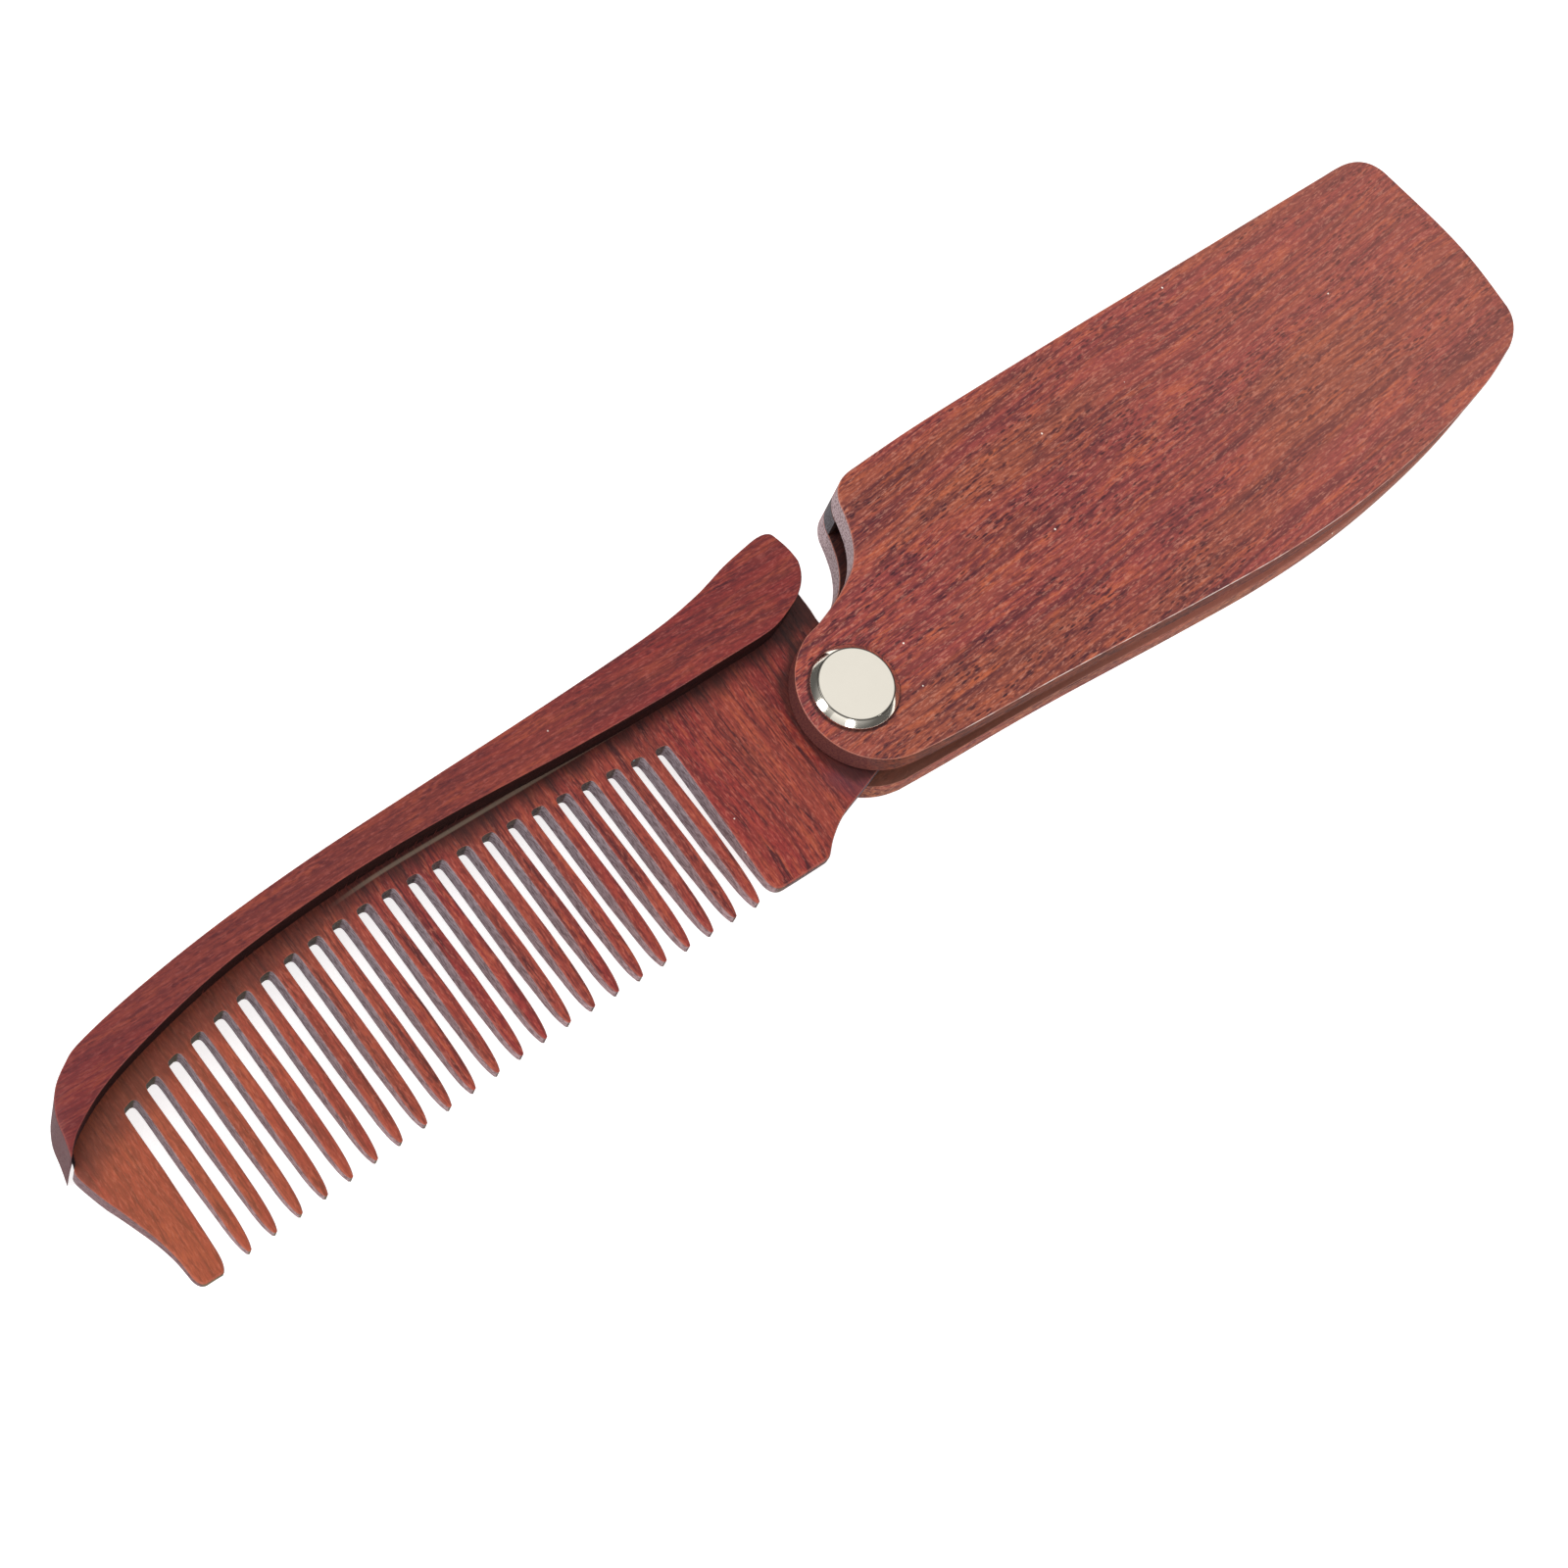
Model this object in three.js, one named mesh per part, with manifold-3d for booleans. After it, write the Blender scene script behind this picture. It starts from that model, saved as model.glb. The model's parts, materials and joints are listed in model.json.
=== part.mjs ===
// A folding beard comb in dark red wood. A comb body, made of a thin tooth board glued into a
// thick spine, turns on one metal pivot and folds into the slot between the two handle scales.
//
// The parts are drawn open, in a drawing frame with the pivot axis at x = y = 0 and the middle of
// the thickness at z = 0: +X runs along the handle, +Y from the teeth to the spine, +Z out of the
// front face. The whole comb is then moved so that the origin is the middle of its footprint, on
// the face that it lies on.
import * as THREE from "three";
import { mergeVertices } from "three/addons/utils/BufferGeometryUtils.js";
import Module from "manifold-3d";

const wasm = await Module();
wasm.setup();

// ---- Driving dimensions, in millimetres ----
const thickness = 9.5; // handle and spine, from outer face to outer face
const scaleThickness = 3.15; // each handle scale
const boardThickness = 2.6; // tooth board at its roots and round the pivot
const tipThickness = 1.1; // tooth board at the tips
const taperStart = -4.5; // height below which the board thins towards the tips
const glueGap = 0.05; // clearance on each face of a glued joint
const grooveGap = 0.15; // clearance at the bottom of the spine's groove
const seatGap = 0.02; // clearance under the pivot cap and beside the washers and screw head

const slotCount = 23;
const toothPitch = 3;
const slotWidth = 1.6;
const firstSlot = -87; // left side of the first slot
const tipLength = 4.5; // bullet-shaped end of each tooth
const tipPower = 2.4; // bluntness of that end, where 2 is an ellipse
const tipSteps = 6; // steps in each half of that end
const toothLean = 0.25; // sideways run of each tooth from its root to its tip
const lowest = -15.6; // foot of the left guard
const rootRadius = 0.45; // both corners of each slot's root
const rootSteps = 3; // steps round each of those corners
const guardRadius = 1.4; // inner corner of the right guard
const tongueRadius = 6.2; // hidden round end of the board, about the pivot

const rootCrest = { x: -54.4, y: 7.9, left: 0.0049, right: 0.00155 }; // two half parabolas
const tipLine = { y: -13.1, bend: -47.4, slope: 0.056 }; // level, then falling to the left

const spacerWidth = 3.2;
const postRadius = 2.2;
const boreRadius = 2.25; // scales and washers, round the post
const pivotClearance = 0.06; // tongue of the board, round the post
const screwRadius = 1.4;
const threadBore = 1.5; // inside of the hollow post
const hollowEnd = 2; // from the front face down to the end of that hollow
const screwEnd = 2.6; // from the front face down to the end of the screw
const mouthGap = 0.2; // between the screw head and the mouth of the post
const headFit = 0.1; // clearance round the screw head in its counterbore
const capRadius = 4.85;
const capHeight = 1.1;
const capBevel = 0.7;
const headRadius = 4.5;
const headHeight = 1.2;
const headSlot = { width: 1.1, depth: 0.6 };
const washer = { radius: 4.5, height: 0.2 };

const footprintMiddle = { x: 2.25, y: 3.875 };

const half = thickness / 2;
const slotHalf = half - scaleThickness; // half of the gap between the scales
const toothWidth = toothPitch - slotWidth;
const curveSteps = 6;

const rosewood = new THREE.MeshStandardMaterial({ color: 0x7a2f1f, roughness: 0.45, metalness: 0 });
const boardWood = new THREE.MeshStandardMaterial({ color: 0x86391f, roughness: 0.5, metalness: 0 });
const endGrain = new THREE.MeshStandardMaterial({ color: 0x3c2a26, roughness: 0.7, metalness: 0 });
const nickel = new THREE.MeshStandardMaterial({ color: 0xd6d0c0, roughness: 0.2, metalness: 1 });
const brass = new THREE.MeshStandardMaterial({ color: 0xb08d4a, roughness: 0.35, metalness: 1 });

// ---- Solids for joining and cutting, and the meshes made from them ----
function solid(geometry) {
  const bare = geometry.clone();
  bare.deleteAttribute("normal");
  bare.deleteAttribute("uv");
  const merged = mergeVertices(bare, 1e-4);
  return new wasm.Manifold(new wasm.Mesh({
    numProp: 3,
    vertProperties: new Float32Array(merged.attributes.position.array),
    triVerts: new Uint32Array(merged.index.array),
  }));
}

function node(name, shape, material) {
  const mesh = shape.getMesh();
  const geometry = new THREE.BufferGeometry();
  geometry.setAttribute("position", new THREE.BufferAttribute(mesh.vertProperties, 3));
  geometry.setIndex(new THREE.BufferAttribute(mesh.triVerts, 1));
  geometry.computeVertexNormals();
  const result = new THREE.Mesh(geometry, material);
  result.name = name;
  return result;
}

// A flat plate of the given outline between two heights.
function plate(outline, low, high) {
  const settings = { depth: high - low, bevelEnabled: false, curveSegments: curveSteps };
  return solid(new THREE.ExtrudeGeometry(outline, settings).translate(0, 0, low));
}

// A round piece about the pivot axis, from its (radius, height) profile.
function turned(profile, segments = 48) {
  const points = profile.map(([radius, height]) => new THREE.Vector2(radius, height));
  return solid(new THREE.LatheGeometry(points, segments).rotateX(Math.PI / 2));
}

function cylinder(radius, low, high) {
  return turned([[0, low], [radius, low], [radius, high], [0, high]]);
}

const points = (list) => list.map(([x, y]) => new THREE.Vector2(x, y));

// ---- Handle ----
const nose = { x: 2.5, y: -0.7 };
const frontNose = { radius: 8.75, chin: -9.9 }; // chin: height of the open edge just past the nose
const backNose = { radius: 9.25, chin: -10.15 };
const topLeft = [15.6, 20.85];
const topRight = [92, 23.35];

// One scale: round nose at the pivot, belly along the open edge, wide far end, nearly straight
// closed edge, and the notch that the end of the spine swings in. The back scale's nose is fuller.
function handleOutline({ radius, chin }) {
  const outline = new THREE.Shape();
  outline.absarc(nose.x, nose.y, radius, Math.PI * 0.54, Math.PI * 1.47);
  outline.splineThru(points([[7.4, chin], [21.6, -10.6], [40.6, -11.75], [53.6, -12.3],
    [65.6, -11.9], [77.6, -10.4], [88.1, -8.2], [94.8, -5.8]]));
  outline.quadraticCurveTo(97.9, -4.2, 98.3, -1.6);
  outline.splineThru(points([[98.7, 5.2], [98.3, 11.3], [97, 20]]));
  outline.quadraticCurveTo(96.2, 23.4, ...topRight);
  outline.splineThru(points([[62.8, 22.65], [46.5, 22.25], [26.3, 21.6], topLeft]));
  outline.quadraticCurveTo(13, 20.6, 12.1, 18.2);
  outline.splineThru(points([[11.6, 16.4], [10.8, 14.3], [9.6, 12.4], [8, 10.9], [5.2, 9.4]]));
  return outline;
}

// The strip between the scales: what lies within its width of the closed edge.
function spacerBand() {
  const [x0, y0] = topLeft;
  const [x1, y1] = topRight;
  const lean = Math.atan2(y1 - y0, x1 - x0);
  const drop = spacerWidth / Math.cos(lean);
  const reach = 20;
  const rise = reach * Math.tan(lean);
  return new THREE.Shape(points([
    [x0 - reach, y0 - rise - drop],
    [x1 + reach, y1 + rise - drop],
    [x1 + reach, y1 + rise + reach],
    [x0 - reach, y0 - rise + reach],
  ]));
}

function scale(noseShape, low, high) {
  return plate(handleOutline(noseShape), low, high)
    .subtract(cylinder(boreRadius, low - 1, high + 1));
}

function frontScale() {
  return scale(frontNose, slotHalf, half);
}

// The back scale has a counterbore, so that the screw head lies flush in the face below it.
function backScale() {
  const seat = -half + headHeight + glueGap;
  const counterbore = cylinder(headRadius + headFit, -half - 1, seat);
  return scale(backNose, -half, -slotHalf).subtract(counterbore);
}

function spacer() {
  const low = -slotHalf + glueGap;
  const high = slotHalf - glueGap;
  return plate(handleOutline(frontNose), low, high)
    .intersect(plate(spacerBand(), low - 1, high + 1));
}

// ---- Comb body ----
const spineTip = [-94.2, 0.5];
const spineUnder = [[-0.4, 10.9], [-3.4, 10], [-9.4, 9.8], [-18.4, 9.65], [-30.4, 9.85],
  [-44.4, 10.4], [-56.4, 10.35], [-68.4, 9.4], [-77.4, 7.8], [-86.8, 5.2], [-92, 2.6]];

// The spine: hooked left end, S-shaped back, and a rounded end beside the handle's notch.
function spineOutline() {
  const outline = new THREE.Shape();
  outline.moveTo(...spineTip);
  outline.splineThru(points([...spineUnder].reverse()));
  outline.quadraticCurveTo(3.2, 12.2, 3.95, 15);
  outline.quadraticCurveTo(4.1, 16.8, 3.3, 19);
  outline.quadraticCurveTo(2.7, 19.8, 0.2, 19.3);
  outline.splineThru(points([[-3.4, 18.6], [-8.4, 17.25], [-15.4, 16.2], [-29.4, 15.3],
    [-44.4, 14.6], [-58.4, 13.9], [-70.4, 12.8], [-80.4, 11.3], [-87.4, 9.75], [-89.8, 8.65],
    [-91.9, 7], [-93.2, 4.8], [-93.7, 2.6]]));
  outline.lineTo(...spineTip);
  return outline;
}

// The board's upper edge, which the spine covers, from the right end to the left end.
const tongueTop = [3.3, 13.9];

function coveredEdge(gap) {
  const [x, y] = tongueTop;
  return points([[x, y + gap], [-0.4, 13.4 + gap], [-10.4, 11.8 + gap], [-20.4, 11.4 + gap],
    [-32.4, 11.7 + gap], [-44.4, 12.4 + gap], [-56.4, 12.2 + gap], [-68.4, 11.1 + gap],
    [-80.4, 9.1 + gap], [-88.4, 7.1 + gap], [-91.9, 4.6 + gap], [-93.5 - gap, 0.7]]);
}

function rootHeight(x) {
  const bend = x < rootCrest.x ? rootCrest.left : rootCrest.right;
  return rootCrest.y - bend * (x - rootCrest.x) ** 2;
}

function tipHeight(x) {
  return tipLine.y - tipLine.slope * Math.max(0, tipLine.bend - x);
}

const blunted = (value) => Math.sign(value) * Math.abs(value) ** (2 / tipPower);

// The root of the slot that starts at left, with its rounded corners.
function addRoot(outline, left) {
  const corners = [[left + rootRadius, Math.PI], [left + slotWidth - rootRadius, Math.PI / 2]];
  for (const [middle, start] of corners) {
    for (let step = 0; step <= rootSteps; step += 1) {
      const turn = start - (step / rootSteps) * (Math.PI / 2);
      const drop = rootRadius * (1 - Math.sin(turn));
      outline.lineTo(middle + rootRadius * Math.cos(turn), rootHeight(middle) - drop);
    }
  }
}

// One tooth, starting from its left side, down to its bullet tip and up again.
function addTooth(outline, left) {
  const middle = left + toothWidth / 2;
  const tip = tipHeight(middle);
  for (let step = 0; step <= 2 * tipSteps; step += 1) {
    const turn = (step / (2 * tipSteps)) * Math.PI;
    const x = middle + toothLean - (toothWidth / 2) * blunted(Math.cos(turn));
    outline.lineTo(x, tip + tipLength * (1 - blunted(Math.sin(turn))));
  }
}

// The board: left guard, teeth, right guard, then the tongue that runs into the handle.
function boardOutline() {
  const outline = new THREE.Shape();
  const lastRight = firstSlot + (slotCount - 1) * toothPitch + slotWidth;
  outline.moveTo(-94.05, 0.1);
  outline.splineThru(points([[-94.1, -0.5], [-93.8, -1.8], [-93.15, -3.95], [-92.4, -5.9],
    [-91.2, -9.4], [-90.6, -12], [-90.4, -14.4]]));
  outline.quadraticCurveTo(-90.2, lowest, -89.4, lowest);
  outline.lineTo(-87.7, lowest);
  outline.quadraticCurveTo(-87.1, lowest + 0.3, firstSlot, lowest + 2);
  addRoot(outline, firstSlot);
  for (let slot = 1; slot < slotCount; slot += 1) {
    addTooth(outline, firstSlot + slot * toothPitch - toothWidth);
    addRoot(outline, firstSlot + slot * toothPitch);
  }
  outline.lineTo(lastRight, tipLine.y + guardRadius);
  outline.quadraticCurveTo(lastRight + 0.2, tipLine.y, lastRight + guardRadius, tipLine.y);
  outline.lineTo(-12.5, tipLine.y);
  outline.quadraticCurveTo(-12, tipLine.y, -11.6, -12.75);
  outline.splineThru(points([[-10.1, -11.4], [-7.7, -10], [-3.4, -8.6], [0.8, -7.2]]));
  outline.absarc(0, 0, tongueRadius, -Math.PI * 0.36, Math.PI * 0.18);
  outline.splineThru(points([[3.6, 6.8], [3.2, 9], [3.3, 10.8], tongueTop]));
  outline.splineThru(coveredEdge(0).slice(1));
  return outline;
}

// The wedge that thins the board from its full thickness down to the tips. It reaches past the
// board on every side.
function taper() {
  const full = boardThickness / 2;
  const thin = tipThickness / 2;
  const top = 30;
  const bottom = lowest - 5;
  const start = -110;
  const length = 130;
  const section = new THREE.Shape(points([[-full, top], [-full, taperStart], [-thin, lowest],
    [-thin, bottom], [thin, bottom], [thin, lowest], [full, taperStart], [full, top]]));
  const wedge = new THREE.ExtrudeGeometry(section, { depth: length, bevelEnabled: false });
  // The section's x becomes -z and its y stays y, with the depth along x.
  return solid(wedge.rotateY(Math.PI / 2).translate(start, 0, 0));
}

function toothBoard() {
  const bore = cylinder(postRadius + pivotClearance, -half, half);
  return plate(boardOutline(), -boardThickness / 2, boardThickness / 2)
    .intersect(taper())
    .subtract(bore);
}

// The slit in the spine that holds the board, open along the spine's inner edge.
function grooveOutline() {
  const outline = new THREE.Shape();
  const below = -2;
  const right = 6;
  const edge = coveredEdge(grooveGap);
  outline.moveTo(right, below);
  outline.lineTo(right, edge[0].y);
  outline.lineTo(edge[0].x, edge[0].y);
  outline.splineThru(edge.slice(1));
  outline.lineTo(edge.at(-1).x, below);
  return outline;
}

function spine() {
  const grooveHalf = boardThickness / 2 + glueGap;
  return plate(spineOutline(), -half, half)
    .subtract(plate(grooveOutline(), -grooveHalf, grooveHalf));
}

// ---- Pivot ----
// The hollow post with its bevelled cap, which stands proud of the front scale.
function pivotPost() {
  const capBase = half + seatGap;
  const capTop = capBase + capHeight;
  const mouth = -half + headHeight + mouthGap;
  const roof = half - hollowEnd;
  return turned([[0, roof], [threadBore, roof], [threadBore, mouth], [postRadius, mouth],
    [postRadius, capBase], [capRadius, capBase], [capRadius, capTop - capBevel],
    [capRadius - capBevel, capTop], [0, capTop]]);
}

// The screw that closes the post from behind, with a slotted head.
function pivotScrew() {
  const face = -half + seatGap;
  const shoulder = -half + headHeight;
  const end = half - screwEnd;
  const body = turned([[0, face], [headRadius, face], [headRadius, shoulder],
    [screwRadius, shoulder], [screwRadius, end], [0, end]]);
  const slot = new THREE.BoxGeometry(headRadius * 3, headSlot.width, headSlot.depth * 2);
  return body.subtract(solid(slot.translate(0, 0, face)));
}

function washerRing(low) {
  return cylinder(washer.radius, low, low + washer.height)
    .subtract(cylinder(boreRadius, low - 1, low + 1));
}

// ---- Assembly ----
const comb = new THREE.Group();
comb.position.set(-footprintMiddle.x, -footprintMiddle.y, half);
comb.add(
  node("tooth_board", toothBoard(), boardWood),
  node("spine", spine(), rosewood),
  node("front_scale", frontScale(), rosewood),
  node("back_scale", backScale(), rosewood),
  node("handle_spacer", spacer(), endGrain),
  node("pivot_post", pivotPost(), nickel),
  node("pivot_screw", pivotScrew(), nickel),
  node("front_washer", washerRing(slotHalf - washer.height - seatGap), brass),
  node("back_washer", washerRing(-slotHalf + seatGap), brass),
);

const part = new THREE.Group();
part.add(comb);
export default part;
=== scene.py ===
"""Looks of a folding beard comb in dark red wood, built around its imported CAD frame.

Every length is in metres. The part's frame has +X along the handle, +Y from the teeth to the spine
and +Z out of the front face, with the comb lying on its back face at z = 0.
"""
import json
import math

import bmesh
import bpy
from mathutils import Matrix, Vector, geometry, kdtree


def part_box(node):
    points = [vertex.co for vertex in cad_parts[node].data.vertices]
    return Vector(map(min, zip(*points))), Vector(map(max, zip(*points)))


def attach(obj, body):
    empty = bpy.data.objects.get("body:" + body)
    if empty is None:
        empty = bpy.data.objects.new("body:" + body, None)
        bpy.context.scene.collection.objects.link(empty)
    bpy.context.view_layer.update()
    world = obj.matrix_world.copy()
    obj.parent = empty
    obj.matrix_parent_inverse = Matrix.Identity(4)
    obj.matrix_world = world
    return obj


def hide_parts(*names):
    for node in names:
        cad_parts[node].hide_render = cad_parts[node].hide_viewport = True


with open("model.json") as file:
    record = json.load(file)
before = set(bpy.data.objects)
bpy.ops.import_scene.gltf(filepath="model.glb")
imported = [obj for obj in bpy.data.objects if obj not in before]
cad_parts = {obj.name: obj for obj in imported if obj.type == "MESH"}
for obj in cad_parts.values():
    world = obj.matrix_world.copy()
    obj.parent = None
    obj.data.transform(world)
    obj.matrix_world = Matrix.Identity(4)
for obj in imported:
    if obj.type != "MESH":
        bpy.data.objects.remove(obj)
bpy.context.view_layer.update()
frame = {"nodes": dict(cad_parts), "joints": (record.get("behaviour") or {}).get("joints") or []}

MM = 0.001
PIVOT = Vector(frame["joints"][0]["pos_m"])
COMB, HANDLE = "comb", "handle"


# ---- Outlines, read from the CAD nodes ----
CORNER = math.radians(65)  # a sharper turn than this stays a corner
ACROSS = 0.9  # a face looks along Z when its normal's share of Z is above this


def merged(node):
    """The CAD node as a bmesh with its shared corners joined."""
    bm = bmesh.new()
    bm.from_mesh(frame["nodes"][node].data)
    bmesh.ops.remove_doubles(bm, verts=bm.verts, dist=1e-3 * MM)
    bm.normal_update()
    return bm


def chained(edges):
    """Closed loops of (x, y) points from loose boundary edges."""
    ends = {}
    for edge in edges:
        for vert in edge.verts:
            ends.setdefault(vert, []).append(edge)
    loops, used = [], set()
    for first in edges:
        if first in used:
            continue
        vert, edge, loop = first.verts[0], first, []
        while edge not in used:
            used.add(edge)
            loop.append(vert.co.copy())
            vert = edge.other_vert(vert)
            edge = next((e for e in ends[vert] if e not in used), edge)
        loops.append(loop)
    return loops


def outlines(node, side, flat=True):
    """The loops round the node's faces that look along side (1 or -1), longest loop first.

    With flat, only the outermost level counts.
    """
    bm = merged(node)
    level = max(v.co.z * side for v in bm.verts)
    faces = {
        f
        for f in bm.faces
        if f.normal.z * side > ACROSS
        and (not flat or all(abs(v.co.z * side - level) < 0.01 * MM for v in f.verts))
    }
    rim = [e for e in bm.edges if sum(f in faces for f in e.link_faces) == 1]
    loops = [[Vector((p.x, p.y)) for p in loop] for loop in chained(rim)]
    bm.free()
    return sorted((turned_left(loop) for loop in loops), key=length_of, reverse=True)


def length_of(loop):
    return sum((b - a).length for a, b in zip(loop, loop[1:] + loop[:1]))


def turned_left(loop):
    """The loop, running counterclockwise."""
    area = sum(a.x * b.y - a.y * b.x for a, b in zip(loop, loop[1:] + loop[:1]))
    return loop if area > 0 else loop[::-1]


def is_corner(before, here, after):
    return (here - before).angle(after - here, 0) > CORNER


def smoothed(loop, step):
    """The loop with points at most a step apart, on a curve that is smooth except at corners."""
    count = len(loop)
    corner = [is_corner(loop[i - 1], loop[i], loop[(i + 1) % count]) for i in range(count)]
    result = []
    for i in range(count):
        j = (i + 1) % count
        start, end = loop[i], loop[j]
        chord = end - start
        before = start - chord if corner[i] else loop[i - 1]
        after = end + chord if corner[j] else loop[(j + 1) % count]
        parts = max(1, math.ceil(chord.length / step))
        for k in range(parts):
            result.append(on_curve(before, start, end, after, k / parts))
    return result


def on_curve(a, b, c, d, t):
    """A point between b and c on the centripetal Catmull-Rom curve through a, b, c and d."""
    t0 = 0.0
    t1 = t0 + math.sqrt((b - a).length)
    t2 = t1 + math.sqrt((c - b).length)
    t3 = t2 + math.sqrt((d - c).length)
    at = t1 + (t2 - t1) * t
    a1 = a.lerp(b, (at - t0) / (t1 - t0))
    a2 = b.lerp(c, (at - t1) / (t2 - t1))
    a3 = c.lerp(d, (at - t2) / (t3 - t2))
    b1 = a1.lerp(a2, (at - t0) / (t2 - t0))
    b2 = a2.lerp(a3, (at - t1) / (t3 - t1))
    return b1.lerp(b2, (at - t1) / (t2 - t1))


# ---- Rounded plates ----
ROUND_STEPS = 4  # steps round an edge, and round a corner of a turned profile
MITRE_LIMIT = 2.0  # how many times the edge radius a corner may move inwards
SAME_POINT = 1e-5  # in millimetres, the unit of the filling
KEPT_SHARE = 0.6  # how much of the room at a tight turn the rounding may take
SHARP = math.radians(40)  # an outward turn that the rounding fades out at
SPREAD = 0.5  # how fast the rounding grows again beside a tight turn
LEAST = 0.01 * MM  # the smallest rounding, for an edge that should look sharp


def inward(loop, hole):
    """For each point, the move that takes both of its edges one unit into the material."""
    moves = []
    count = len(loop)
    sign = -1 if hole else 1
    for i in range(count):
        u = (loop[i] - loop[i - 1]).normalized()
        v = (loop[(i + 1) % count] - loop[i]).normalized()
        left_u, left_v = Vector((-u.y, u.x)), Vector((-v.y, v.x))
        middle = (left_u + left_v).normalized()
        stretch = min(MITRE_LIMIT, 1 / max(SAME_POINT, middle.dot(left_u)))
        moves.append(middle * stretch * sign)
    return moves


def roundings(loop, moves, wanted):
    """The wanted edge radius at each point, less where the loop turns too tightly for it."""
    count = len(loop)
    radii = [wanted(p.x, p.y) for p in loop]
    for i in range(count):
        j = (i + 1) % count
        edge = loop[j] - loop[i]
        closing = -(moves[j] - moves[i]).dot(edge.normalized())
        if closing > SAME_POINT:
            room = KEPT_SHARE * edge.length / closing
            radii[i], radii[j] = min(radii[i], room), min(radii[j], room)
    for i in range(count):
        turn = (loop[i] - loop[i - 1]).angle_signed(loop[(i + 1) % count] - loop[i], 0)
        if -turn > SHARP:
            slope = math.tan((math.pi + turn) / 2) * KEPT_SHARE
            for k, point in enumerate(loop):
                radii[k] = min(radii[k], max(LEAST, (point - loop[i]).length * slope))
    for order in (range(count), reversed(range(count))):
        for i in order:
            for j in (i - 1, (i + 1) % count):
                room = radii[j] + SPREAD * (loop[i] - loop[j]).length
                radii[i] = min(radii[i], room)
    return radii


def quarter(radius):
    """(inset, drop) along a rounded edge, from the side wall to the face."""
    turns = [math.pi / 2 * k / ROUND_STEPS for k in range(ROUND_STEPS + 1)]
    return [(radius * (1 - math.cos(t)), radius * (1 - math.sin(t))) for t in turns]


def grid_inside(rims, step):
    """Points of a hexagonal grid over the rims' box, with none close to a rim."""
    near = kdtree.KDTree(sum(len(rim) for rim in rims))
    for i, point in enumerate(p for rim in rims for p in rim):
        near.insert((point.x, point.y, 0), i)
    near.balance()
    xs, ys = [p.x for p in rims[0]], [p.y for p in rims[0]]
    points = []
    rise = step * math.sqrt(3) / 2
    for row in range(int((max(ys) - min(ys)) / rise) + 1):
        y = min(ys) + row * rise
        for column in range(int((max(xs) - min(xs)) / step) + 1):
            x = min(xs) + (column + row % 2 / 2) * step
            if near.find((x, y, 0))[2] > step / 2:
                points.append(Vector((x, y)))
    return points, near


def fill(bm, rims, height, upper, step, crown):
    """Fills the face inside the first rim and outside the others with small triangles.

    rims are rings of bmesh corners. crown is (width, depth): how far from the rim, and by how
    much, the face falls away towards it. height gives the uncrowned height at x and y, and
    upper tells the plate's top face from its bottom face.
    """
    spots = [[Vector((v.co.x, v.co.y)) for v in rim] for rim in rims]
    inner, near = grid_inside(spots, step)
    width, depth = crown
    corners = [v for rim in rims for v in rim]
    for point in inner:
        away = near.find((point.x, point.y, 0))[2]
        fall = depth * max(0.0, 1 - away / width) ** 2 if width else 0.0
        side = 1 if upper else -1
        corners.append(bm.verts.new((point.x, point.y, height(point.x, point.y) - side * fall)))
    edges, rings, start = [], [], 0
    for rim in rims:
        ring = list(range(start, start + len(rim)))
        rings.append(ring)
        edges += list(zip(ring, ring[1:] + ring[:1]))
        start += len(rim)
    flat = [Vector((v.co.x, v.co.y)) / MM for v in corners]
    found = geometry.delaunay_2d_cdt(flat, edges, rings, 1, SAME_POINT)
    places, triangles, sources, regions = found[0], found[2], found[3], found[5]
    if len(places) != len(flat):
        raise ValueError("the rims of a plate cross each other")
    for triangle, region in zip(triangles, regions):
        if region == [0]:
            bm.faces.new([corners[sources[i][0]] for i in triangle])
    unused = [v for v in corners if not v.link_faces]
    bmesh.ops.delete(bm, geom=unused, context="VERTS")


def rounded_plate(name, loops, low, high, radius, crowns=((0, 0), (0, 0)), step=1.2 * MM):
    """A plate with rounded edges. loops holds the outline and then its holes.

    low, high and radius are functions of x and y: the heights of the two faces, and the rounding
    of their edges. crowns are the lower and the upper face's own.
    """
    bm = bmesh.new()
    lower_rims, upper_rims = [], []
    for index, loop in enumerate(loops):
        columns = []
        moves = inward(loop, hole=index > 0)
        for point, move, edge in zip(loop, moves, roundings(loop, moves, radius)):
            x, y = point
            base, top = low(x, y) + crowns[0][1], high(x, y) - crowns[1][1]
            levels = [(inset, base + drop) for inset, drop in reversed(quarter(edge))]
            levels += [(inset, top - drop) for inset, drop in quarter(edge)]
            spots = [(point + move * inset, z) for inset, z in levels]
            columns.append([bm.verts.new((p.x, p.y, z)) for p, z in spots])
        for a, b in zip(columns, columns[1:] + columns[:1]):
            for k in range(len(a) - 1):
                bm.faces.new((a[k], b[k], b[k + 1], a[k + 1]))
        lower_rims.append([c[0] for c in columns])
        upper_rims.append([c[-1] for c in columns])
    fill(bm, lower_rims, low, False, step, crowns[0])
    fill(bm, upper_rims, high, True, step, crowns[1])
    bmesh.ops.recalc_face_normals(bm, faces=bm.faces)
    return made_object(name, bm)


def made_object(name, bm):
    mesh = bpy.data.meshes.new(name)
    bm.to_mesh(mesh)
    bm.free()
    obj = bpy.data.objects.new(name, mesh)
    bpy.context.scene.collection.objects.link(obj)
    for polygon in mesh.polygons:
        polygon.use_smooth = True
    return obj


def level(z):
    """The same height, or the same rounding, at every x and y."""
    return lambda x, y: z


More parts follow.
